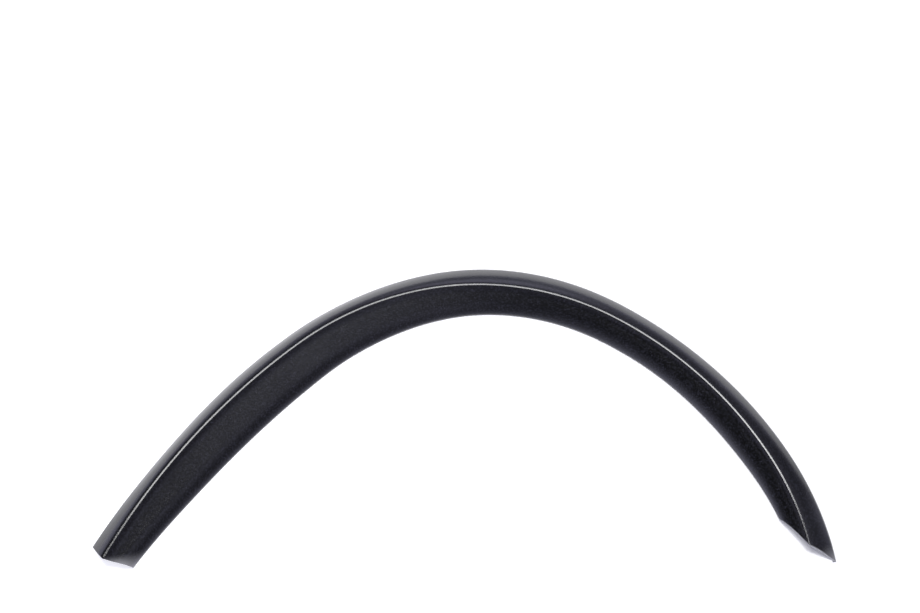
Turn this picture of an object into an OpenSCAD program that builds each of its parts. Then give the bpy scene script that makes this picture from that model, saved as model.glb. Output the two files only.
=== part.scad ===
// Wheel arch trim: one moulded strip of thin plastic that frames a wheel opening.
// It lies face up on its two rims, with the side that meets the car body down.
// X runs along the width of the arch, Y from the two ends up to its crown.
// The ridge is a chain of tangent arcs. The section is drawn square to the
// ridge: an outer shoulder, the ridge with its narrow level top, a broad inner
// face with a shallow step beside the ridge, a brow that bends down to the
// inner rim, a small roll-over and a short return flange.

/* [Sheet] */
// Thickness of the moulded sheet
sheet_t = 2.2; // [1.6:0.1:2.8]

/* [Plan of the ridge] */
// Direction of the ridge where it starts at the square end, in degrees
start_heading = 62.6; // [56:0.2:68]
// Radius of the ridge low on the square-ended leg
arc_r_1 = 815; // [600:5:1200]
// Length of that first arc
arc_l_1 = 190; // [120:5:240]
// Radius higher up the same leg
arc_r_2 = 796; // [600:5:1200]
// Length of the second arc
arc_l_2 = 150; // [100:5:200]
// Radius where the leg turns into the crown
arc_r_3 = 355; // [300:5:450]
// Length of the third arc
arc_l_3 = 150; // [100:5:200]
// Radius over the crown
arc_r_4 = 331; // [280:5:420]
// Length of the crown arc
arc_l_4 = 250; // [200:5:300]
// Radius down the pointed leg
arc_r_5 = 461; // [380:5:600]
// Length of the fifth arc
arc_l_5 = 250; // [200:5:300]
// Radius at the pointed end
arc_r_6 = 343; // [300:5:500]
// Length of the last arc
arc_l_6 = 113; // [80:1:140]

/* [Outer shoulder, width in plan] */
// At the square end
outer_w_0 = 22.5; // [16:0.1:30]
// Low on the square-ended leg
outer_w_1 = 19.8; // [16:0.1:30]
// Halfway up that leg
outer_w_2 = 21.7; // [16:0.1:30]
// Where the leg turns into the crown
outer_w_3 = 22.3; // [16:0.1:30]
// At the crown
outer_w_4 = 27.1; // [16:0.1:34]
// High on the pointed leg
outer_w_5 = 24; // [16:0.1:30]
// Low on the pointed leg
outer_w_6 = 25.4; // [16:0.1:32]
// At the pointed end
outer_w_7 = 27.8; // [20:0.1:34]

/* [Inner face, width in plan] */
// At the square end
inner_w_0 = 31.5; // [24:0.1:40]
// Low on the square-ended leg
inner_w_1 = 44.4; // [34:0.1:52]
// Halfway up that leg, where the face is widest
inner_w_2 = 47.8; // [36:0.1:56]
// Where the leg turns into the crown
inner_w_3 = 43.4; // [34:0.1:52]
// At the crown
inner_w_4 = 32.7; // [28:0.1:44]
// High on the pointed leg
inner_w_5 = 28.8; // [26:0.1:40]
// Low on the pointed leg
inner_w_6 = 27.5; // [25:0.1:38]
// At the pointed end
inner_w_7 = 19; // [17:0.1:28]

/* [Height of the ridge] */
// At the square end
ridge_h_0 = 15.5; // [14:0.1:19]
// Low on the square-ended leg
ridge_h_1 = 17.7; // [16:0.1:23]
// Halfway up that leg
ridge_h_2 = 18.6; // [17:0.1:24]
// Where the leg turns into the crown
ridge_h_3 = 18.3; // [17:0.1:24]
// At the crown
ridge_h_4 = 16.8; // [15.5:0.1:22]
// High on the pointed leg
ridge_h_5 = 15.6; // [14.5:0.1:20]
// Low on the pointed leg
ridge_h_6 = 15; // [14:0.1:20]
// At the pointed end
ridge_h_7 = 10.6; // [10:0.1:15]

/* [Section] */
// Width of the level top of the ridge
ridge_w = 0.9; // [0.6:0.1:1.5]
// Radius between the ridge and the shoulder
ridge_r = 8; // [6:0.1:10]
// Radius under the sheet where the inner face leaves the ridge
crease_r = 0.6; // [0.4:0.1:1.2]
// Slope of the shoulder beside the ridge at the square end, in degrees
shoulder_slope_0 = 32; // [24:1:38]
// The same slope at the pointed end
shoulder_slope_7 = 8; // [6:1:20]
// Slope of the inner face where it leaves the ridge, in degrees
step_slope = 35; // [25:1:42]
// Width of the shallow step beside the ridge at the square end
step_w_0 = 8; // [6:0.5:10]
// The same width at the pointed end
step_w_7 = 4.5; // [3.5:0.5:6]
// Slope of the inner face where the brow starts at the square end, in degrees
face_slope_0 = 5; // [3:1:10]
// The same slope at the pointed end
face_slope_7 = 20; // [12:1:26]
// Slope at the lower edge of the brow, in degrees
brow_slope = 50; // [44:1:60]
// Radius under the sheet where the brow turns into the flange
hem_r = 0.4; // [0.3:0.1:1]
// Height of the straight return flange
flange_h = 1.5; // [1:0.1:3]

/* [Radius of the brow beside the inner rim] */
// At the square end
brow_r_0 = 22; // [16:0.5:24]
// Low on the square-ended leg
brow_r_1 = 24; // [18:0.5:32]
// Halfway up that leg
brow_r_2 = 25; // [18:0.5:32]
// Where the leg turns into the crown
brow_r_3 = 25; // [18:0.5:32]
// At the crown
brow_r_4 = 24; // [18:0.5:30]
// High on the pointed leg
brow_r_5 = 23; // [16:0.5:28]
// Low on the pointed leg
brow_r_6 = 22; // [14:0.5:28]
// At the pointed end
brow_r_7 = 11; // [8:0.5:14]

/* [Ends] */
// How far the outer rim stops short of the ridge at the square end
square_outer = 8; // [2:0.5:14]
// How far the inner rim stops short of the ridge at the square end
square_inner = 9; // [2:0.5:14]
// Roundness of the square end beside the ridge, from 1 for a plain bend
square_power = 1.3; // [1:0.1:2]
// Slant of the pointed cut over the shoulder, from the ridge out to the tip
tip_lead = 24.4; // [14:0.1:30]
// Slant of the pointed cut over the inner face, back to the inner rim
cut_back = 37.4; // [20:0.1:45]
// Roundness of the pointed cut beside the ridge, from 1 for a plain bend
cut_power = 1.12; // [1:0.02:1.5]
// How far the pointed cut leans out for each millimetre of height
cut_lean = 0.35; // [0:0.05:0.5]

/* [Hidden] */

// Steps in each stretch of the section, and along the strip
n_outer = 5;
n_ridge = 3;
n_step = 3;
n_face = 3;
n_brow = 4;
n_hem = 2;
n_long = 84;

arc_r = [arc_r_1, arc_r_2, arc_r_3, arc_r_4, arc_r_5, arc_r_6];
arc_l = [arc_l_1, arc_l_2, arc_l_3, arc_l_4, arc_l_5, arc_l_6];
n_arc = len(arc_r);
outer_w = [outer_w_0, outer_w_1, outer_w_2, outer_w_3, outer_w_4, outer_w_5, outer_w_6, outer_w_7];
inner_w = [inner_w_0, inner_w_1, inner_w_2, inner_w_3, inner_w_4, inner_w_5, inner_w_6, inner_w_7];
ridge_h = [ridge_h_0, ridge_h_1, ridge_h_2, ridge_h_3, ridge_h_4, ridge_h_5, ridge_h_6, ridge_h_7];
brow_r = [brow_r_0, brow_r_1, brow_r_2, brow_r_3, brow_r_4, brow_r_5, brow_r_6, brow_r_7];

// Where the eight measuring stations lie, as shares of the ridge
share = [0, 0.12, 0.24, 0.37, 0.53, 0.72, 0.87, 1];

function sum_to(v, n) = n <= 0 ? 0 : v[n - 1] + sum_to(v, n - 1);
ridge_len = sum_to(arc_l, n_arc);

// Start of every arc: its distance along the ridge, heading and position
function turn(i) = arc_l[i] / arc_r[i] * 180 / PI;
function arc_s(i) = sum_to(arc_l, i);
function arc_h(i) = i <= 0 ? start_heading : arc_h(i - 1) - turn(i - 1);
function side(h) = [-sin(h), cos(h)];
function arc_p(i) = i <= 0 ? [0, 0] : arc_p(i - 1) + arc_r[i - 1] * (side(arc_h(i)) - side(arc_h(i - 1)));
starts = [for (i = [0 : n_arc - 1]) [arc_s(i), arc_h(i), arc_p(i)]];

// Which arc holds the distance s, then the heading and the point there
function which(s, i = n_arc - 1) = i <= 0 || s >= starts[i][0] ? max(i, 0) : which(s, i - 1);
function heading(s) = let (i = which(s)) starts[i][1] - (s - starts[i][0]) / arc_r[i] * 180 / PI;
function ridge_at(s) = let (i = which(s)) starts[i][2] + arc_r[i] * (side(heading(s)) - side(starts[i][1]));

// Smooth value between the stations: a cubic with the slopes of their neighbours
function pick(v, i) = v[max(0, min(len(v) - 1, i))];
function grade(v, i) = (pick(v, i + 1) - pick(v, i - 1)) / (pick(share, i + 1) - pick(share, i - 1));
function span_of(f, i = 0) = i >= len(share) - 2 || f < share[i + 1] ? i : span_of(f, i + 1);
function blend(v, f0) =
    let (f = max(0, min(1, f0)))
    let (i = span_of(f))
    let (d = share[i + 1] - share[i])
    let (t = (f - share[i]) / d)
    let (m0 = grade(v, i) * d)
    let (m1 = grade(v, i + 1) * d)
    v[i] * (2 * t * t * t - 3 * t * t + 1) + m0 * (t * t * t - 2 * t * t + t)
    + v[i + 1] * (3 * t * t - 2 * t * t * t) + m1 * (t * t * t - t * t);

// These sizes change evenly from the square end to the pointed end
function ease(v0, v7, f) = v0 + (v7 - v0) * max(0, min(1, f));

// Outer skin of the section at share f of the ridge, from the outer rim over the
// ridge to the inner rim. Each point is [distance outward from the ridge, height].
function skin(f) =
    let (a = blend(outer_w, f))
    let (b = blend(inner_w, f))
    let (h = blend(ridge_h, f))
    let (r = blend(brow_r, f))
    let (lean = ease(shoulder_slope_0, shoulder_slope_7, f))
    let (dip = ease(face_slope_0, face_slope_7, f))
    let (sw = ease(step_w_0, step_w_7, f))
    let (c = ridge_w / 2)
    let (r1 = sheet_t + crease_r)
    let (r4 = sheet_t + hem_r)
    let (x0 = c + ridge_r * sin(lean))
    let (z0 = h - ridge_r + ridge_r * cos(lean))
    let (w0 = a - x0)
    let (k0 = (z0 - tan(lean) * w0) / (w0 * w0))
    let (x1 = c + r1 * sin(step_slope))
    let (z1 = h - r1 + r1 * cos(step_slope))
    let (x4 = b - r4 + r4 * sin(brow_slope))
    let (z4 = flange_h + r4 * cos(brow_slope))
    let (x3 = x4 - r * (sin(brow_slope) - sin(dip)))
    let (z3 = z4 + r * (cos(dip) - cos(brow_slope)))
    let (wf = x3 - x1 - sw)
    let (t1 = tan(step_slope))
    let (t3 = tan(dip))
    let (t2 = (2 * (z1 - z3) - sw * t1 - wf * t3) / (sw + wf))
    let (z2 = z1 - sw * (t1 + t2) / 2)
    concat(
        [for (i = [0 : n_outer - 1]) let (x = w0 * (1 - i / n_outer))
            [x0 + x, z0 - tan(lean) * x - k0 * x * x]],
        [for (i = [0 : n_ridge]) let (q = lean * (1 - i / n_ridge))
            [c + ridge_r * sin(q), h - ridge_r + ridge_r * cos(q)]],
        [for (i = [0 : n_ridge]) let (q = step_slope * i / n_ridge)
            [-c - r1 * sin(q), h - r1 + r1 * cos(q)]],
        [for (i = [1 : n_step]) let (x = sw * i / n_step)
            [-x1 - x, z1 - t1 * x - (t2 - t1) * x * x / (2 * sw)]],
        [for (i = [1 : n_face]) let (x = wf * i / n_face)
            [-x1 - sw - x, z2 - t2 * x - (t3 - t2) * x * x / (2 * wf)]],
        [for (i = [1 : n_brow]) let (q = dip + (brow_slope - dip) * i / n_brow)
            [-x3 - r * (sin(q) - sin(dip)), z3 - r * (cos(dip) - cos(q))]],
        [for (i = [1 : n_hem]) let (q = brow_slope + (90 - brow_slope) * i / n_hem)
            [-b + r4 - r4 * sin(q), flange_h + r4 * cos(q)]],
        [[-b, 0]]
    );

// Inner skin, one sheet thickness below, with both rims trimmed level with the floor
function unit(p) = p / norm(p);
function up_from(p, q) = let (d = unit(q - p)) [d[1], -d[0]];
function foot(p, q, way) = let (u = way * up_from(p, q)) let (d = unit(q - p))
    p - sheet_t * u + d * sheet_t * u[1] / d[1];
function lining(p) =
    let (n = len(p))
    [for (i = [0 : n - 1])
        i == 0 ? foot(p[0], p[1], 1)
        : i == n - 1 ? foot(p[n - 1], p[n - 2], -1)
        : let (u = up_from(p[i - 1], p[i])) let (v = up_from(p[i], p[i + 1]))
            p[i] - sheet_t * (u + v) / (1 + u * v)];

// Distance along the ridge of point i of station j, with the shaped ends let in.
// w runs from 1 at the outer rim over 0 at the ridge to -1 at the inner rim.
n_skin = n_outer + 2 * (n_ridge + 1) + n_step + n_face + n_brow + n_hem + 1;
function first_s(w) = w > 0 ? square_outer * pow(w, square_power) : -square_inner * w;
function slant(w) = (w > 0 ? tip_lead : -cut_back) * pow(abs(w), cut_power);
function last_s(w, z) = ridge_len + slant(w) - cut_lean * (ridge_h_7 - z);
function along(j, w, z) = first_s(w) + (last_s(w, z) - first_s(w)) * j / n_long;

// One corner of the mesh: the section is taken where that corner itself lies
function corner(j, i, inside) =
    let (f0 = j / n_long)
    let (p0 = skin(f0)[i])
    let (w = p0[0] / blend(p0[0] > 0 ? outer_w : inner_w, f0))
    let (s = along(j, w, p0[1]))
    let (o = skin(s / ridge_len))
    let (q = inside ? lining(o)[i] : o[i])
    let (p = ridge_at(s) + q[0] * side(heading(s)))
    [p[0], p[1], q[1]];

mesh_pts = [for (j = [0 : n_long]) each concat(
    [for (i = [0 : n_skin - 1]) corner(j, i, false)],
    [for (i = [n_skin - 1 : -1 : 0]) corner(j, i, true)])];

// The middle of the strip's own box goes to the origin
xs = [for (p = mesh_pts) p[0]];
ys = [for (p = mesh_pts) p[1]];
mid_x = (min(xs) + max(xs)) / 2;
mid_y = (min(ys) + max(ys)) / 2;

ring = 2 * n_skin;
function at(j, i) = j * ring + i % ring;
walls = [for (j = [0 : n_long - 1]) for (i = [0 : ring - 1]) each [
    [at(j, i), at(j + 1, i + 1), at(j, i + 1)],
    [at(j, i), at(j + 1, i), at(j + 1, i + 1)]]];
function cap(j, i) = [at(j, i), at(j, ring - 1 - i), at(j, ring - 2 - i), at(j, i + 1)];
first_end = [for (i = [0 : n_skin - 2]) let (c = cap(0, i)) each [
    [c[0], c[2], c[1]],
    [c[0], c[3], c[2]]]];
last_end = [for (i = [0 : n_skin - 2]) let (c = cap(n_long, i)) each [
    [c[0], c[1], c[2]],
    [c[0], c[2], c[3]]]];

module arch_trim() {
    color("dimgray")
        translate([-mid_x, -mid_y, 0])
            polyhedron(points = mesh_pts, faces = concat(walls, first_end, last_end), convexity = 10);
}

arch_trim();
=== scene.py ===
# %% [markdown]
# A wheel arch trim is a thin strip of black moulded plastic that frames the
# wheel opening of a car. It lies here on its two rims with the visible face up.
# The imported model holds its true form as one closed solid. This script loads
# that model, lays a finer skin of the same shape over it, with rounded cut
# edges, and gives it the grained finish of the real part. The solid could be
# shown as it is, but black plastic mirrors its surroundings, and the mirrored
# bands of light would break up at each of the solid's flat facets.

import bpy
import numpy as np
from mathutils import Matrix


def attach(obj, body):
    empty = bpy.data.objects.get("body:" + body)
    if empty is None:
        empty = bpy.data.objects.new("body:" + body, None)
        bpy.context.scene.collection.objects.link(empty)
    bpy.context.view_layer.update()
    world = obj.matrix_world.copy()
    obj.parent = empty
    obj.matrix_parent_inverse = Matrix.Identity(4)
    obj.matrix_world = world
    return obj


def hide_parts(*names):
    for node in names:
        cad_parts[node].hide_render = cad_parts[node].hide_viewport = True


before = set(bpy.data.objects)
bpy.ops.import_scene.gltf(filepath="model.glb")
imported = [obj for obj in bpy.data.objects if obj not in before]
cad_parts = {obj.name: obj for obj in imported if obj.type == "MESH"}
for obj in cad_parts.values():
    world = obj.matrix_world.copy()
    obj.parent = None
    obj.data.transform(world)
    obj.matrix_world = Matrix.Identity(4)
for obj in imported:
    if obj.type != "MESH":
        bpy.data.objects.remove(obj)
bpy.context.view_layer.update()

MM = 0.001

# %% [markdown]
# Seen from above, the ridge of the trim is not a plain circle. The leg with the
# square end is nearly straight, the crown is the tightest stretch, and the leg
# with the pointed end is a little flatter again. A body designer draws such a
# line as a chain of arcs that meet without a corner, so the same is done here:
# six arcs, each given by its radius and its length. A spline through traced
# points could follow it too, but it would wave between them, and a wave in
# the ridge shows at once in the bright line along it.

# %% The ridge as a chain of tangent arcs
START_HEADING = np.radians(62.6)
ARC_RADIUS = np.array([815.0, 796.0, 355.0, 331.0, 461.0, 343.0])
ARC_LENGTH = np.array([190.0, 150.0, 150.0, 250.0, 250.0, 113.0])
RIDGE_LENGTH = ARC_LENGTH.sum()


def side_way(heading):
    """Unit vector that points outward, square to a heading: (-sin, cos)."""
    return np.stack([-np.sin(heading), np.cos(heading)], -1)


ARC_START = np.concatenate([[0.0], np.cumsum(ARC_LENGTH)[:-1]])
ARC_TURN = ARC_LENGTH / ARC_RADIUS
ARC_HEADING = START_HEADING - np.concatenate([[0.0], np.cumsum(ARC_TURN)])
ARC_STEP = ARC_RADIUS[:, None] * (side_way(ARC_HEADING[1:]) - side_way(ARC_HEADING[:-1]))
ARC_POINT = np.concatenate([[[0.0, 0.0]], np.cumsum(ARC_STEP, axis=0)[:-1]])


def ridge_at(s):
    """Point and outward direction of the ridge, s millimetres from the square end.

    On each arc the heading falls by distance / radius, and the point is the
    arc's start plus radius * (outward direction now - outward direction then).
    """
    arc = np.clip(np.searchsorted(ARC_START, s, side="right") - 1, 0, len(ARC_START) - 1)
    heading = ARC_HEADING[arc] - (s - ARC_START[arc]) / ARC_RADIUS[arc]
    out = side_way(heading)
    point = ARC_POINT[arc] + ARC_RADIUS[arc][..., None] * (out - side_way(ARC_HEADING[arc]))
    return point, out


print("ridge length in mm", RIDGE_LENGTH, "turn in degrees", np.degrees(ARC_TURN.sum()).round(1))

# %% [markdown]
# The band changes its width and height along the arch. It is measured at eight
# stations, and a smooth cubic runs through them, as a flexible batten would
# when it is laid through pins on a loft floor. Straight lines between the
# stations would do for a rough model, but would leave a kink at each of them.

# %% Widths and heights at the measuring stations
STATION = np.array([0, 0.12, 0.24, 0.37, 0.53, 0.72, 0.87, 1.0])
OUTER_WIDTH = np.array([22.5, 19.8, 21.7, 22.3, 27.1, 24.0, 25.4, 27.8])
INNER_WIDTH = np.array([31.5, 44.4, 47.8, 43.4, 32.7, 28.8, 27.5, 19.0])
RIDGE_HEIGHT = np.array([15.5, 17.7, 18.6, 18.3, 16.8, 15.6, 15.0, 10.6])
BROW_RADIUS = np.array([22.0, 24.0, 25.0, 25.0, 24.0, 23.0, 22.0, 11.0])
SHOULDER_SLOPE = (32.0, 8.0)
FACE_SLOPE = (5.0, 20.0)
STEP_WIDTH = (8.0, 4.5)


def batten(values, share):
    """Cubic through the stations: its slope at each is that between the two neighbours.

    From one station to the next, t goes from 0 to 1, and the curve is the cubic
    of t that has the value and the slope of both.
    """
    last = len(STATION) - 1
    before = np.clip(np.arange(last + 1) - 1, 0, last)
    after = np.clip(np.arange(last + 1) + 1, 0, last)
    grade = (values[after] - values[before]) / (STATION[after] - STATION[before])
    f = np.clip(share, 0, 1)
    i = np.clip(np.searchsorted(STATION, f, side="right") - 1, 0, last - 1)
    gap = STATION[i + 1] - STATION[i]
    t = (f - STATION[i]) / gap
    rise = values[i] * (2 * t**3 - 3 * t**2 + 1) + values[i + 1] * (3 * t**2 - 2 * t**3)
    return rise + gap * (grade[i] * (t**3 - 2 * t**2 + t) + grade[i + 1] * (t**3 - t**2))


print("band width in mm, narrowest and widest",
      (OUTER_WIDTH + INNER_WIDTH).min(), (OUTER_WIDTH + INNER_WIDTH).max())

# %% [markdown]
# Cut square to the ridge, the sheet rises from the outer rim over a bowed
# shoulder to the ridge, whose top is a narrow level land. It drops through a
# shallow step onto the broad inner face, bends down in a brow, rolls over and
# ends in a short upright flange. Each stretch starts in the direction in which
# the last one ended, so light runs over the section without a break. A curve
# object with a bevel profile could carry one section along the arch, but this
# one changes all the way, so every section is worked out as a row of points.

# %% The section of the sheet
SHEET = 2.2
RIDGE_WIDTH = 0.9
RIDGE_RADIUS = 8.0
CREASE_RADIUS = 0.6
STEP_ANGLE = np.radians(35.0)
BROW_ANGLE = np.radians(50.0)
HEM_RADIUS = 0.4
FLANGE = 1.5
STEPS = {"shoulder": 14, "ridge": 7, "step": 8, "face": 10, "brow": 10, "hem": 5, "flange": 3}


def shares(count):
    """The count steps of one stretch as shares from just above 0 to 1."""
    return np.arange(1, count + 1) / count


def section(outer, inner, height, brow, slope, dip, ledge):
    """Outer skin, as points (distance outward from the ridge, height).

    Each argument is an array with one value for each place: the two widths,
    the ridge height, the radius of the brow, the slopes of the shoulder beside
    the ridge and of the face where the brow starts, and the width of the step.
    The shoulder and the two parts of the inner face are parabolas, the rest
    are arcs, and each meets the next with the same slope.
    """
    given = (outer, inner, height, brow, slope, dip, ledge)
    outer, inner, height, brow, slope, dip, ledge = (np.asarray(x, float)[..., None] for x in given)
    half, r, tight, hem = RIDGE_WIDTH / 2, RIDGE_RADIUS, SHEET + CREASE_RADIUS, SHEET + HEM_RADIUS
    x0, z0 = half + r * np.sin(slope), height - r + r * np.cos(slope)
    reach = outer - x0
    bow = (z0 - np.tan(slope) * reach) / reach**2
    x = reach * (1 - np.arange(STEPS["shoulder"]) / STEPS["shoulder"])
    shoulder = [x0 + x, z0 - np.tan(slope) * x - bow * x**2]
    turn = np.concatenate([[0], shares(STEPS["ridge"])])
    q = slope * (1 - turn)
    crest = [half + r * np.sin(q), height - r + r * np.cos(q)]
    q = STEP_ANGLE * turn
    crease = [-half - tight * np.sin(q) + 0 * inner, height - tight + tight * np.cos(q)]
    x1, z1 = half + tight * np.sin(STEP_ANGLE), height - tight + tight * np.cos(STEP_ANGLE)
    x4 = inner - hem + hem * np.sin(BROW_ANGLE)
    z4 = FLANGE + hem * np.cos(BROW_ANGLE)
    x3 = x4 - brow * (np.sin(BROW_ANGLE) - np.sin(dip))
    z3 = z4 + brow * (np.cos(dip) - np.cos(BROW_ANGLE))
    wide = x3 - x1 - ledge
    first, last = np.tan(STEP_ANGLE), np.tan(dip)
    middle = (2 * (z1 - z3) - ledge * first - wide * last) / (ledge + wide)
    z2 = z1 - ledge * (first + middle) / 2
    x = ledge * shares(STEPS["step"])
    step = [-x1 - x, z1 - first * x - (middle - first) * x**2 / (2 * ledge)]
    x = wide * shares(STEPS["face"])
    face = [-x1 - ledge - x, z2 - middle * x - (last - middle) * x**2 / (2 * wide)]
    q = dip + (BROW_ANGLE - dip) * shares(STEPS["brow"])
    bend = [-x3 - brow * (np.sin(q) - np.sin(dip)), z3 - brow * (np.cos(dip) - np.cos(q))]
    q = BROW_ANGLE + (np.pi / 2 - BROW_ANGLE) * shares(STEPS["hem"])
    over = [-inner + hem - hem * np.sin(q), FLANGE + hem * np.cos(q) + 0 * inner]
    drop = FLANGE * (1 - shares(STEPS["flange"]))
    flange = [-inner + 0 * drop, drop + 0 * inner]
    parts = [shoulder, crest, crease, step, face, bend, over, flange]
    return np.stack([np.concatenate([p[k] for p in parts], -1) for k in (0, 1)], -1)


def lining(skin):
    """Inner skin: each point moved in by the sheet, along the mitre of its two sides.

    With a and b square to the two sides, the move is SHEET * (a + b) / (1 + a . b).
    The two ends are cut level with the floor, where the sheet's inner side meets it.
    """
    run = np.diff(skin, axis=-2)
    run /= np.linalg.norm(run, axis=-1, keepdims=True)
    up = np.stack([run[..., 1], -run[..., 0]], -1)
    a, b = up[..., :-1, :], up[..., 1:, :]
    inside = skin.copy()
    inside[..., 1:-1, :] -= SHEET * (a + b) / (1 + (a * b).sum(-1, keepdims=True))
    for end, k in ((0, 0), (-1, -1)):
        u, d = up[..., k, :], run[..., k, :]
        inside[..., end, :] = skin[..., end, :] - SHEET * u + d * (SHEET * u[..., 1:] / d[..., 1:])
    return inside


print("points across the skin", section(25.0, 30.0, 18.0, 20.0, 0.4, 0.2, 6.0).shape[-2])

# %% [markdown]
# The two ends are trimmed to shape. At the square end both rims stop a little
# short of the ridge, and the outline is rounded. At the pointed end one long
# slanting cut leaves the inner rim well before the ridge and the outer rim
# last of all, as a tip. That cut leans a little, as a mould needs. A Boolean
# could make the cut, but it would leave thin faces along it. Here each column
# of points is stretched or shortened so that it ends just at the cut, and the
# last rows are drawn along a quarter circle, which rounds the cut edge.

# %% Trim the ends
SQUARE_OUTER = 8.0
SQUARE_INNER = 9.0
SQUARE_POWER = 1.3
TIP_LEAD = 24.4
CUT_BACK = 37.4
CUT_POWER = 1.12
CUT_LEAN = 0.35
EDGE_ROUND = 0.9
EDGE_ROWS = 5
ROUND_FADE = 5.0
ROUND_LEAST = 0.15
ALONG = 560


def sizes_at(s):
    """Widths, ridge height, brow radius, two slopes and step width at distance s."""
    f = s / RIDGE_LENGTH
    part = np.clip(f, 0, 1)
    lean, dip, ledge = (a + (b - a) * part for a, b in (SHOULDER_SLOPE, FACE_SLOPE, STEP_WIDTH))
    rows = (OUTER_WIDTH, INNER_WIDTH, RIDGE_HEIGHT, BROW_RADIUS)
    return *(batten(row, f) for row in rows), np.radians(lean), np.radians(dip), ledge


def rows_along(steps):
    """Each row's share of the length, its extra distance in mm and its depth in mm.

    At each end EDGE_ROWS rows draw a quarter circle, which rounds the cut edge:
    at angle a the row is EDGE_ROUND * (1 - cos a) from the edge and lies
    EDGE_ROUND * (1 - sin a) below the skin.
    """
    a = np.linspace(0, np.pi / 2, EDGE_ROWS)
    near, deep = EDGE_ROUND * (1 - np.cos(a)), EDGE_ROUND * (1 - np.sin(a))
    middle = np.arange(1, steps) / steps
    share = np.concatenate([0 * a, middle, 0 * a + 1])
    extra = np.concatenate([near, 0 * middle, -near[::-1]])
    depth = np.concatenate([deep, 0 * middle, deep[::-1]])
    return share, extra, depth


def fading(w):
    """How much of the rounding is left at w: all of it, but little at the rims."""
    return np.clip((1 - np.abs(w)) * ROUND_FADE, ROUND_LEAST, 1)


def places(share, extra):
    """Distance along the ridge of every point of every section, ends let in.

    w runs from 1 at the outer rim over 0 at the ridge to -1 at the inner rim.
    A column starts at first and ends at last, and its points lie between them
    at first + (last - first) * share. Also gives w and how far each point is
    from the two ends. The rounding of the cut edges fades where an edge meets
    a rim, so that the tip stays sharp.
    """
    sizes = sizes_at(RIDGE_LENGTH * share)
    skin = section(*sizes)
    x, z = skin[..., 0], skin[..., 1]
    w = np.where(x > 0, x / sizes[0][:, None], x / sizes[1][:, None])
    first = np.where(w > 0, SQUARE_OUTER * np.abs(w) ** SQUARE_POWER, -SQUARE_INNER * w)
    slant = np.where(w > 0, TIP_LEAD, -CUT_BACK) * np.abs(w) ** CUT_POWER
    last = RIDGE_LENGTH + slant - CUT_LEAN * (RIDGE_HEIGHT[-1] - z)
    s = first + (last - first) * share[:, None] + extra[:, None] * fading(w)
    return s, w, s - first, last - s


def sheet_points(steps):
    """Grid of 3-D points: rows are sections, columns run round the sheet's outline.

    A point is its place on the ridge, plus its distance outward along the
    ridge's outward direction, at its own height. Also gives w and the distances
    from the two ends, for the same grid.
    """
    share, extra, depth = rows_along(steps)
    s, *where = places(share, extra)
    skin = section(*sizes_at(s))
    inside = lining(skin)
    pick = np.arange(s.shape[1])
    point, out = ridge_at(s)
    sides = []
    for flat in (skin, inside):
        q = flat[:, pick, pick, :]
        sides.append(np.concatenate([point + q[..., :1] * out, q[..., 1:]], -1))
    top, bottom = sides
    way = bottom - top
    way /= np.linalg.norm(way, axis=-1, keepdims=True)
    top = top + way * (depth[:, None] * fading(where[0]))[..., None]
    pairs = [(top, bottom)] + [(x, x) for x in where]
    return [np.concatenate([a, b[:, ::-1]], axis=1) for a, b in pairs]


grid, across, from_square, from_point = sheet_points(ALONG)
# The rounding would dip below the floor where a cut edge meets a rim.
grid[..., 2] = np.maximum(grid[..., 2], 0)
low, high = grid.reshape(-1, 3).min(0), grid.reshape(-1, 3).max(0)
MIDDLE = (low[:2] + high[:2]) / 2
grid[..., :2] -= MIDDLE
print("grid", grid.shape, "size in mm", (high - low).round(1))

# %% [markdown]
# The grid becomes one closed mesh: a tube of four-sided faces, and at each end
# a narrow strip between the outer and the inner skin, which is the cut edge of
# the sheet. A Solidify modifier could give one skin its wall, but the rims are
# level with the floor, not square to the skin, so both skins are in the grid.

# %% Build the mesh


def closed_sheet(points):
    """Faces of a tube over the grid, with a strip of faces across each end."""
    rows, ring = points.shape[:2]
    j, i = np.meshgrid(np.arange(rows - 1), np.arange(ring), indexing="ij")
    k = (i + 1) % ring
    tube = np.stack([j * ring + i, j * ring + k, (j + 1) * ring + k, (j + 1) * ring + i], -1)
    i = np.arange(ring // 2 - 1)
    strip = np.stack([i, ring - 1 - i, ring - 2 - i, i + 1], -1)
    return np.concatenate([tube.reshape(-1, 4), strip, strip[:, ::-1] + (rows - 1) * ring])


def new_piece(name, points, faces):
    """Mesh object at the origin, with its place in its vertices."""
    mesh = bpy.data.meshes.new(name)
    mesh.from_pydata(points.reshape(-1, 3) * MM, [], faces)
    mesh.validate()
    piece = bpy.data.objects.new(name, mesh)
    bpy.context.scene.collection.objects.link(piece)
    return piece


def enclosed(points, faces):
    """Volume in a closed mesh: a . (b x c) / 6, summed over two triangles to a face.

    It is above 0 when the faces point outwards.
    """
    a, b, c, d = (points.reshape(-1, 3)[faces[:, k]] for k in range(4))
    return ((a * np.cross(b, c)).sum() + (a * np.cross(c, d)).sum()) / 6


faces = closed_sheet(grid)
trim = new_piece("arch_trim_sheet", grid, faces)
trim.data.shade_smooth()
print("faces", len(trim.data.polygons), "volume in cm3", round(enclosed(grid, faces) / 1000, 1))

# %% [markdown]
# The inner corner of the square end, the tip and the slanting cut are painted
# paler than the rest. This is a painted highlight: it stands in for the light
# that these surfaces and the cut edge of the sheet reflect. It could be painted
# by hand, but the distances from the ends are known, so a formula gives a value
# at each point of the mesh, and the finish reads it by its name.

# %% Where a highlight is painted pale
# Strength and reach of the painted highlight at the corner, the tip and the cut edge.
CORNER_PALE, CORNER_REACH, CORNER_POWER = 0.20, (7.0, 30.0), 2
TIP_PALE, TIP_REACH, TIP_POWER = 0.17, 22.0, 1.5
CUT_PALE, CUT_REACH = 0.30, 1.2


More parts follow.
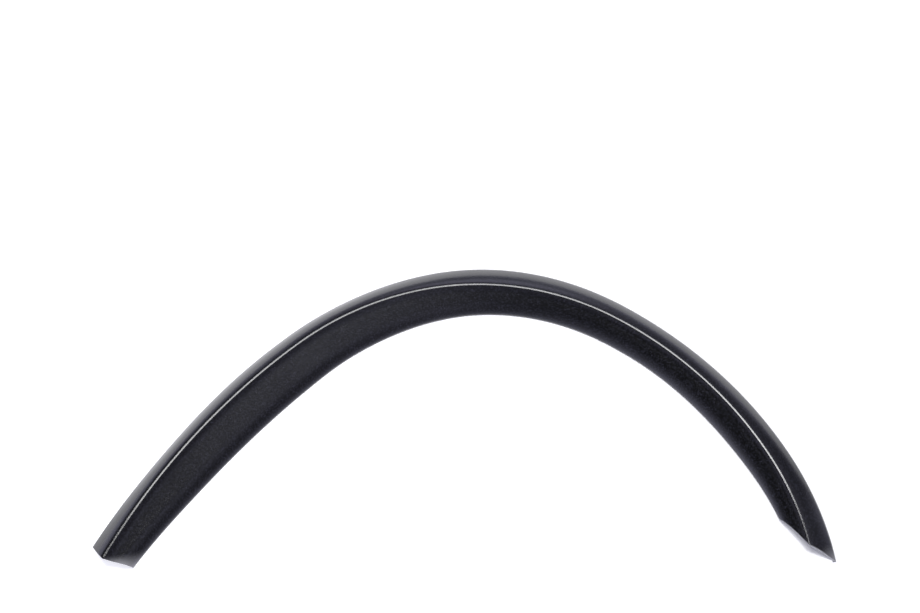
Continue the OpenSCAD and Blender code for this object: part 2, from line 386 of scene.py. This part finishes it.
def painted_highlight(points, w, square, point):
    """Painted highlight at every point: most at the corner of the square end, the tip and the cut
    edge.

    Each patch is strength * (1 - distance / reach)^power. At the square end the
    reach grows from the first to the second value towards the inner rim, and
    the patch fades in over the half of the face beside the ridge.
    """
    inward = np.clip(-w, 0, 1)
    reach = CORNER_REACH[0] + (CORNER_REACH[1] - CORNER_REACH[0]) * inward**2
    beside = np.clip(inward * 2, 0, 1)
    corner = CORNER_PALE * beside * np.clip(1 - square / reach, 0, 1) ** CORNER_POWER
    end = points[-1, points[-1, :, 1].argmin()]
    away = np.linalg.norm(points - end, axis=-1)
    tip = TIP_PALE * np.clip(1 - away / TIP_REACH, 0, 1) ** TIP_POWER
    cut = CUT_PALE * np.clip(1 - point / CUT_REACH, 0, 1)
    return np.maximum(np.maximum(corner, tip), cut)


# Painted highlight: a paler colour where the corner, the tip and the cut edge would reflect light.
pale = painted_highlight(grid, across, from_square, from_point)
layer = trim.data.attributes.new("painted_highlight", "FLOAT", "POINT")
layer.data.foreach_set("value", pale.ravel())
print("palest", pale.max().round(2), "share of points that are pale", (pale > 0.01).mean().round(3))

# %% [markdown]
# A finish is a tree of nodes, and its formulas could be wired up one Math node
# at a time. They are easier to read and to change as plain sums, so a small
# class wraps a socket and turns the signs + - * and ** into Math nodes.

# %% A small class for shader maths


class Value:
    """Wraps a socket, so that an expression on values adds its own Math nodes."""

    def __init__(self, tree, socket):
        self.tree, self.socket = tree, socket

    def math(self, kind, *others):
        """One Math node with this value first and the others after it."""
        node = self.tree.nodes.new("ShaderNodeMath")
        node.operation = kind
        for slot_in, item in zip(node.inputs, (self, *others)):
            if isinstance(item, Value):
                self.tree.links.new(item.socket, slot_in)
            else:
                slot_in.default_value = item
        return Value(self.tree, node.outputs[0])

    def __add__(self, other):
        return self.math("ADD", other)

    def __mul__(self, other):
        return self.math("MULTIPLY", other)

    def __sub__(self, other):
        return self.math("SUBTRACT", other)

    def __rsub__(self, other):
        return (self * -1) + other

    __radd__, __rmul__ = __add__, __mul__

    def __pow__(self, power):
        return self.math("POWER", power)

    def clip(self, low, high):
        """This value, kept between low and high."""
        return self.math("MAXIMUM", low).math("MINIMUM", high)


class Nodes:
    """The node tree of a material or of the world, emptied."""

    def __init__(self, tree):
        self.tree = tree
        tree.nodes.clear()

    def node(self, kind, out=0, settings=None, **inputs):
        """Any node: its type, its settings, and the values or links of its sockets."""
        node = self.tree.nodes.new(kind)
        for key, item in (settings or {}).items():
            setattr(node, key, item)
        for key, item in inputs.items():
            slot_in = node.inputs[key.replace("_", " ")]
            if isinstance(item, Value):
                self.tree.links.new(item.socket, slot_in)
            else:
                slot_in.default_value = item
        return Value(self.tree, node.outputs[out])

    def both(self, first, second):
        """Two surfaces added together."""
        node = self.tree.nodes.new("ShaderNodeAddShader")
        for slot_in, item in zip(node.inputs, (first, second)):
            self.tree.links.new(item.socket, slot_in)
        return Value(self.tree, node.outputs[0])

    def show(self, surface, kind="ShaderNodeOutputMaterial"):
        """Join a surface to the output of the tree."""
        out = self.tree.nodes.new(kind)
        self.tree.links.new(surface.socket, out.inputs["Surface"])


class Finish(Nodes):
    """A material and the nodes in it."""

    def __init__(self, name):
        self.material = bpy.data.materials.new(name)
        self.material.use_nodes = True
        super().__init__(self.material.node_tree)


print("helpers", Value.__name__, Nodes.__name__, Finish.__name__)

# %% [markdown]
# The strip is moulded in black plastic with a fine grain, which is etched into
# the mould. The grain hides small flaws and keeps the face from shining. A
# picture could carry it, but noise worked out from the place of each point
# needs no seams and keeps its size all over the part. Pebbles, a finer noise
# and soft blotches make the relief. Specks and a slow cloud vary the black,
# and the gloss changes a little with the blotches.

# %% Black grained plastic
PEBBLE_SCALE, FINE_SCALE, BLOTCH_SCALE = 460.0, 2400.0, 330.0
SPECK_SCALE, CLOUD_SCALE = 520.0, 45.0
PEBBLE_HEIGHT, FINE_HEIGHT, BLOTCH_HEIGHT = 0.5, 0.35, 0.6
BUMP_STRENGTH, BUMP_DEPTH = 0.3, 0.2 * MM
BLACK, DARKEST, PALEST = 0.0022, 0.0005, 0.02
CLOUD_CHANGE, SPECK_CHANGE = 0.002, 0.04
BLACK_RED, BLACK_BLUE = 0.97, 1.4
GLOSS, CLOUD_GLOSS, BLOTCH_GLOSS = 0.115, 0.04, 0.06
PLASTIC_IOR = 1.5


def grained_plastic():
    """The finish of the trim, with the painted highlight added to its colour where the mesh holds
    it.

    The black is BLACK plus each noise, less its mean of a half, times its change.
    """
    black = Finish("black_grained_plastic")
    spot = black.node("ShaderNodeTexCoord", out="Object")
    pebble = black.node("ShaderNodeTexVoronoi", out="Distance", Vector=spot, Scale=PEBBLE_SCALE,
                        settings={"feature": "SMOOTH_F1"})
    fine = black.node("ShaderNodeTexNoise", Vector=spot, Scale=FINE_SCALE, Detail=2.0)
    cloud = black.node("ShaderNodeTexNoise", Vector=spot, Scale=CLOUD_SCALE, Detail=3.0)
    blotch = black.node("ShaderNodeTexNoise", Vector=spot, Scale=BLOTCH_SCALE, Detail=2.0)
    speck = black.node("ShaderNodeTexNoise", Vector=spot, Scale=SPECK_SCALE, Detail=1.0)
    height = pebble * PEBBLE_HEIGHT + fine * FINE_HEIGHT + blotch * BLOTCH_HEIGHT
    bump = black.node("ShaderNodeBump", Strength=BUMP_STRENGTH, Distance=BUMP_DEPTH, Height=height)
    # Painted highlight: the pale colour stands in for light reflected at the corner, the tip and
    # the cut edge.
    highlight_paint = black.node("ShaderNodeAttribute", out="Fac", settings={"attribute_name": "painted_highlight"})
    shade = (cloud - 0.5) * CLOUD_CHANGE + (speck - 0.5) * SPECK_CHANGE + BLACK
    shade = shade.clip(DARKEST, PALEST)
    tone = black.node("ShaderNodeCombineColor", Red=shade * BLACK_RED + highlight_paint, Green=shade + highlight_paint,
                      Blue=shade * BLACK_BLUE + highlight_paint)
    plastic = black.node("ShaderNodeBsdfPrincipled", Base_Color=tone,
                         Roughness=cloud * CLOUD_GLOSS + blotch * BLOTCH_GLOSS + GLOSS,
                         Normal=bump, IOR=PLASTIC_IOR)
    black.show(plastic)
    return black.material


trim.data.materials.append(grained_plastic())
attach(trim, "root")
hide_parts("arch_trim")
print("finish", trim.data.materials[0].name)

# %% [markdown]
# Black plastic shows little but what it mirrors, so the studio is built from
# what the trim sees, one part at a time. The ground is a plain white sheet. A
# lamp alone would leave its white uneven, so a faint glow evens out what the
# camera sees. Rays that come off the plastic find another glow, brighter on
# the left, because the floor is much of what the shoulder mirrors.

# %% The white floor
FLOOR_HALF = 6.0
FLOOR_WHITE = (0.76, 0.76, 0.75, 1)
EVEN_SLOPE, EVEN_MIDDLE, EVEN_FAR = -0.8, 0.2, 0.5
BOUNCE_SLOPE, BOUNCE_MIDDLE, BOUNCE_RANGE = -0.6, 0.72, (0.1, 1.2)
GLOW_BLUE = 1.04


def white_floor():
    """A wide plane at the level of the rims, with its two glows.

    The camera sees slope * x + middle, kept from 0 to 1, plus far * distance^2.
    The plastic sees slope * x + middle, kept within the range of the bounce.
    """
    mesh = bpy.data.meshes.new("floor")
    h = FLOOR_HALF
    mesh.from_pydata([(-h, -h, 0), (h, -h, 0), (h, h, 0), (-h, h, 0)], [], [(0, 1, 2, 3)])
    piece = bpy.data.objects.new("floor", mesh)
    bpy.context.scene.collection.objects.link(piece)
    paper = Finish("white_floor")
    seen = paper.node("ShaderNodeLightPath", out="Is Camera Ray")
    mirrored = paper.node("ShaderNodeLightPath", out="Is Glossy Ray")
    place = paper.node("ShaderNodeTexCoord", out="Object")
    east = paper.node("ShaderNodeSeparateXYZ", out="X", Vector=place)
    spread = paper.node("ShaderNodeVectorMath", out="Value", Vector=place,
                        settings={"operation": "LENGTH"})
    even = (east * EVEN_SLOPE + EVEN_MIDDLE).clip(0, 1) + spread ** 2 * EVEN_FAR
    bounce = (east * BOUNCE_SLOPE + BOUNCE_MIDDLE).clip(*BOUNCE_RANGE)
    diffuse = paper.node("ShaderNodeBsdfDiffuse", Color=FLOOR_WHITE)
    level = seen * even + mirrored * bounce
    colour = paper.node("ShaderNodeCombineColor", Red=level, Green=level, Blue=level * GLOW_BLUE)
    glow = paper.node("ShaderNodeEmission", Color=colour, Strength=1.0)
    paper.show(paper.both(diffuse, glow))
    mesh.materials.append(paper.material)
    print("floor", 2 * FLOOR_HALF, "m wide")


white_floor()

# %% [markdown]
# The thin bright line along the ridge is a light, mirrored in the ridge's
# level top. One square light would show in only a part of that curve. A row
# of soft lights is set out instead along the curve that the ridge makes in
# the mirror, as high as the camera, so the line runs from end to end. The
# levels along the row follow the brightness of the line.

# %% The curved row of lights
CAMERA_PLACE = (-0.0043, -0.6357, 1.9116)
LIGHT_COUNT = 9
LIGHT_PLACE = (0.0, 0.33, 0.5, 0.75, 1.0)
LIGHT_LEVEL = (15.5, 13.0, 13.5, 14.5, 22.0)
STRIP_WIDTH = 0.55
STRIP_SHIFT = 0.07


def light_strip(count):
    """Row of area lights as high as the camera, where the ridge mirrors them.

    The level top of the ridge at P shows a camera at C the place 2 P - C, so
    the row has the ridge's own curve at twice its size.
    """
    s = (np.arange(count) + 0.5) / count * RIDGE_LENGTH
    point, out = ridge_at(s)
    place = 2 * (point - MIDDLE) * MM - np.array(CAMERA_PLACE[:2]) + out * STRIP_SHIFT
    size = (2 * RIDGE_LENGTH * MM / count, STRIP_WIDTH)
    for k in range(count):
        lamp = bpy.data.lights.new(f"strip_{k}", "AREA")
        lamp.shape = "RECTANGLE"
        lamp.size, lamp.size_y = size
        level = np.interp(k / (count - 1), LIGHT_PLACE, LIGHT_LEVEL)
        lamp.energy = level * np.pi * size[0] * size[1]
        box = bpy.data.objects.new(lamp.name, lamp)
        box.location = (*place[k], CAMERA_PLACE[2])
        box.rotation_euler = (0, 0, np.arctan2(-out[k, 0], out[k, 1]))
        bpy.context.scene.collection.objects.link(box)
    print("light strip of", count, "boxes, from", place[0].round(2), "to", place[-1].round(2))


light_strip(LIGHT_COUNT)

# %% [markdown]
# The rest of what the plastic mirrors is the room. A picture of a room could
# be wrapped round the scene, but a few soft shapes are enough, and each can be
# set by itself. A wall is bright near the floor. The flank on the left is
# brighter, and a dark gap stands beyond the pointed leg. A pale panel behind
# the crown lights its shoulder. The ceiling is dim, which keeps the inner face
# dark, with a glimmer on the right for the face of the square leg. The camera
# itself sees plain white.

# %% The levels of the surround
WALL_LEFT, WALL_RIGHT, WALL_FRONT, WALL_ROUND, WALL_FALL = 1.0, 0.8, 1.0, 0.85, 3
GAP_NEAR, GAP_FAR, GAP_SIDE, GAP_DARK, GAP_LEAST = (12, -6), (-3, 3.4), 4, 0.7, 0.05
FLANK_EAST, FLANK_NORTH, FLANK_FALL, FLANK_LEVEL = -0.9, -0.4, 2.5, 0.9
PANEL_UP, PANEL_ACROSS, PANEL_LEVEL = (5.5, -2.1), (2.9, -0.15), 1.3
GLIMMER_RISE, GLIMMER_TOP, GLIMMER_FALL, GLIMMER_LEAST = 2.2, 0.4, (-2.5, 1.6), 0.3
REAR_NORTH, REAR_LEFT, REAR_START, REAR_TOP = 2, -1.2, -0.1, 0.5
DIM_LEFT, DIM_LEVEL, FRONT_LEVEL, CEILING_FALL = -0.9, 0.14, 0.5, 2
ROOM_BLUE = 0.28
print("levels of wall, flank and panel", WALL_ROUND, FLANK_LEVEL, PANEL_LEVEL)

# %% The surround that the plastic mirrors


def line(value, slope_and_start):
    """slope * value + start."""
    slope, start = slope_and_start
    return value * slope + start


def surround():
    """The room, as a level for each direction; 1 is the white that the camera sees.

    The wall falls off as (1 - up)^3, and the ceiling as up^2. The panel is
    1 - a^2 upward times 1 - b^2 across, with a and b running from -1 to 1 over
    it. The gap lies between two bearings, which are north / east.
    """
    world = bpy.data.worlds.new("surround")
    bpy.context.scene.world = world
    world.use_nodes = True
    sky = Nodes(world.node_tree)
    way = sky.node("ShaderNodeTexCoord", out="Generated")
    up = sky.node("ShaderNodeSeparateXYZ", out="Z", Vector=way).clip(0, 1)
    east = sky.node("ShaderNodeSeparateXYZ", out="X", Vector=way)
    north = sky.node("ShaderNodeSeparateXYZ", out="Y", Vector=way)
    camera_ray = sky.node("ShaderNodeLightPath", out="Is Camera Ray")
    left, right = (east * -1).clip(0, 1), east.clip(0, 1)
    front, rear = (north * -1).clip(0, 1), north.clip(0, 1)
    bearing = rear.math("DIVIDE", east.clip(GAP_LEAST, 1))
    gap = line(bearing, GAP_NEAR).clip(0, 1) * line(bearing, GAP_FAR).clip(0, 1)
    gap = gap * (right * GAP_SIDE).clip(0, 1)
    wall = (1 - up) ** WALL_FALL * (1 - gap * GAP_DARK)
    wall = wall * (left * WALL_LEFT + right * WALL_RIGHT + front * WALL_FRONT + WALL_ROUND)
    flank = (east * FLANK_EAST + north * FLANK_NORTH).clip(0, 1) ** FLANK_FALL * FLANK_LEVEL
    a, b = line(up, PANEL_UP), line(east, PANEL_ACROSS)
    panel = (1 - a * a).clip(0, 1) * (1 - b * b).clip(0, 1) * rear * PANEL_LEVEL
    glimmer = (right * GLIMMER_RISE).clip(0, GLIMMER_TOP)
    glimmer = glimmer * line(right, GLIMMER_FALL).clip(GLIMMER_LEAST, 1)
    over_rear = (north * REAR_NORTH + left * REAR_LEFT + REAR_START).clip(0, REAR_TOP)
    dim = (left * DIM_LEFT + DIM_LEVEL).clip(0, 1) + front * FRONT_LEVEL
    ceiling = up ** CEILING_FALL * (over_rear + glimmer + dim)
    level = (wall + flank + panel + ceiling) * (1 - camera_ray) + camera_ray
    tint = sky.node("ShaderNodeCombineColor", Red=1.0, Green=1.0,
                    Blue=(1 - camera_ray) * ROOM_BLUE + 1)
    back = sky.node("ShaderNodeBackground", Color=tint, Strength=level)
    sky.show(back, "ShaderNodeOutputWorld")
    print("surround", world.name, "with", len(world.node_tree.nodes), "nodes")


surround()

# %% [markdown]
# The camera stands above the near side of the trim and looks steeply down on
# it, through a long lens that keeps the far side of the arch from shrinking
# much. It could be set by eye, but height, tilt and lens belong together: here
# they are the ones that bring the outline of the part to its place.

# %% Camera, at the height and tilt that the photograph shows
PHOTO_WIDTH = 920
FOCAL_PIXELS = 1700
SENSOR_WIDTH = 36.0
CAMERA_BELOW_LEVEL = 68.0
lens = bpy.data.cameras.new("camera")
lens.sensor_width = SENSOR_WIDTH
lens.lens = SENSOR_WIDTH * FOCAL_PIXELS / PHOTO_WIDTH
camera = bpy.data.objects.new("camera", lens)
camera.location = CAMERA_PLACE
camera.rotation_euler = (np.radians(90 - CAMERA_BELOW_LEVEL), 0, 0)
bpy.context.scene.collection.objects.link(camera)
bpy.context.scene.camera = camera
bpy.context.scene.view_settings.view_transform = "Standard"
print("camera", CAMERA_PLACE, "lens in mm", round(lens.lens, 1))
